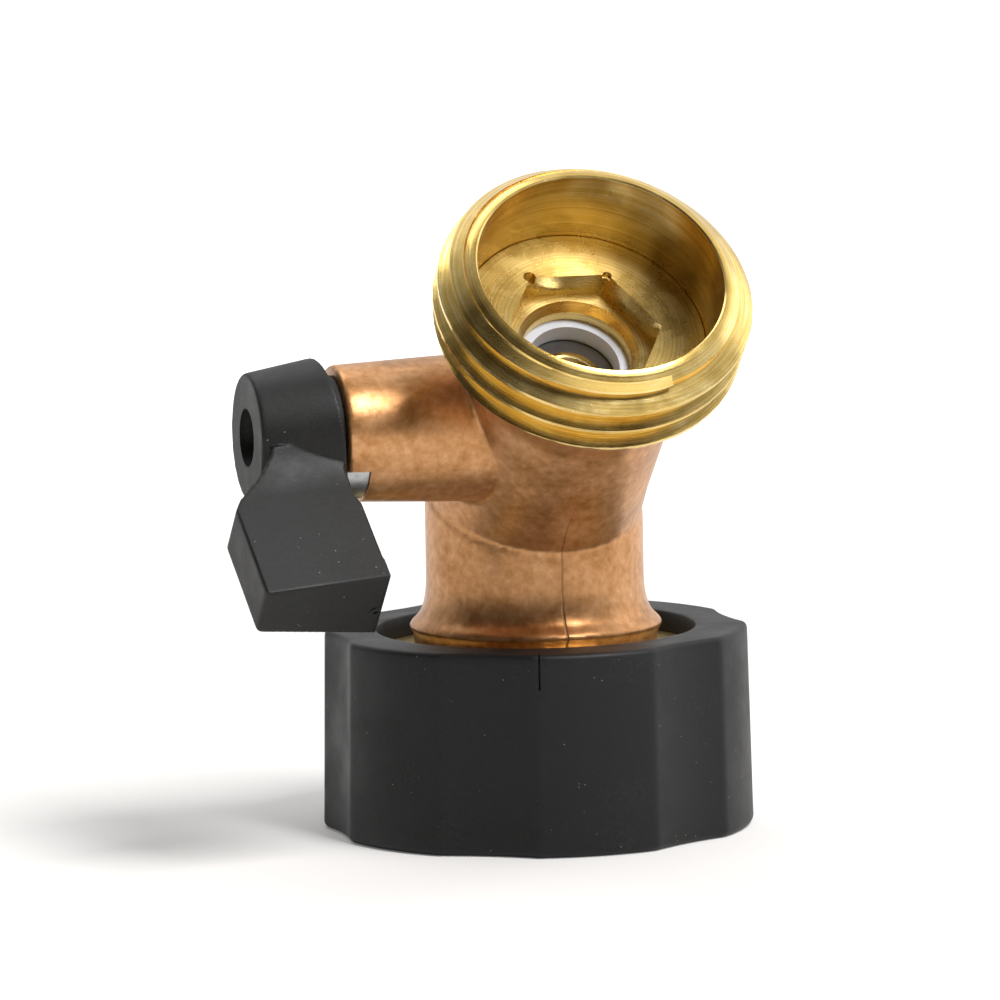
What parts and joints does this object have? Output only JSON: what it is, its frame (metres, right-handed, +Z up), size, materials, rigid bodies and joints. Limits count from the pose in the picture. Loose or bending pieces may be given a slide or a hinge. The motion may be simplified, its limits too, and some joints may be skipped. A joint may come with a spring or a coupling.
{
  "type": "hose splitter outlet valve",
  "caption": "Shut-off outlet section of a garden hose splitter: swivel inlet nut, 45 degree branch with a ball valve and side lever, and a male hose thread.",
  "frame": {"origin": "centre of the inlet at the lower face of the swivel nut", "axes": "+Z up the neck; the outlet branch points between -Y and +Z; the stem and lever point to -X"},
  "size_m": [0.0492, 0.0485, 0.0584],
  "materials": {
    "nut_plastic": "moulded satin black",
    "insert_brass": "turned, bright",
    "washer_rubber": "smooth",
    "ring_steel": "zinc plated",
    "body_paint": "semi-gloss copper paint over a brass forging",
    "outlet_brass": "bright turned thread and mouth, left unpainted",
    "retainer_brass": "bright turned",
    "seat_ptfe": "white, smooth",
    "ball_chrome": "polished",
    "stem_brass": "turned",
    "oring_rubber": "smooth",
    "washer_ptfe": "white, smooth",
    "bush_brass": "turned",
    "plate_steel": "zinc plated stamping",
    "lever_plastic": "moulded satin black",
    "screw_steel": "zinc plated"
  },
  "bodies": {
    "valve_body": {"body": "body_paint", "swivel_ring": "ring_steel", "seat_retainer": "retainer_brass", "outer_seat": "seat_ptfe", "inner_seat": "seat_ptfe", "gland_bush": "bush_brass"},
    "inlet_nut": {"nut_grip": "nut_plastic", "nut_insert": "insert_brass", "inlet_washer": "washer_rubber"},
    "lever_assembly": {"lever": "lever_plastic", "lever_screw": "screw_steel", "stop_plate": "plate_steel", "stem": "stem_brass", "stem_oring_inner": "oring_rubber", "stem_oring_outer": "oring_rubber", "stem_washer": "washer_ptfe", "ball": "ball_chrome"}
  },
  "joints": [
    {"name": "lever_turn", "type": "hinge", "parent": "valve_body", "child": "lever_assembly", "pos_m": [0, -0.00735, 0.03615], "axis": [1, 0, 0], "range_deg": [0, 90]},
    {"name": "nut_swivel", "type": "hinge", "parent": "valve_body", "child": "inlet_nut", "pos_m": [0, 0, 0.008], "axis": [0, 0, 1], "continuous": true}
  ]
}
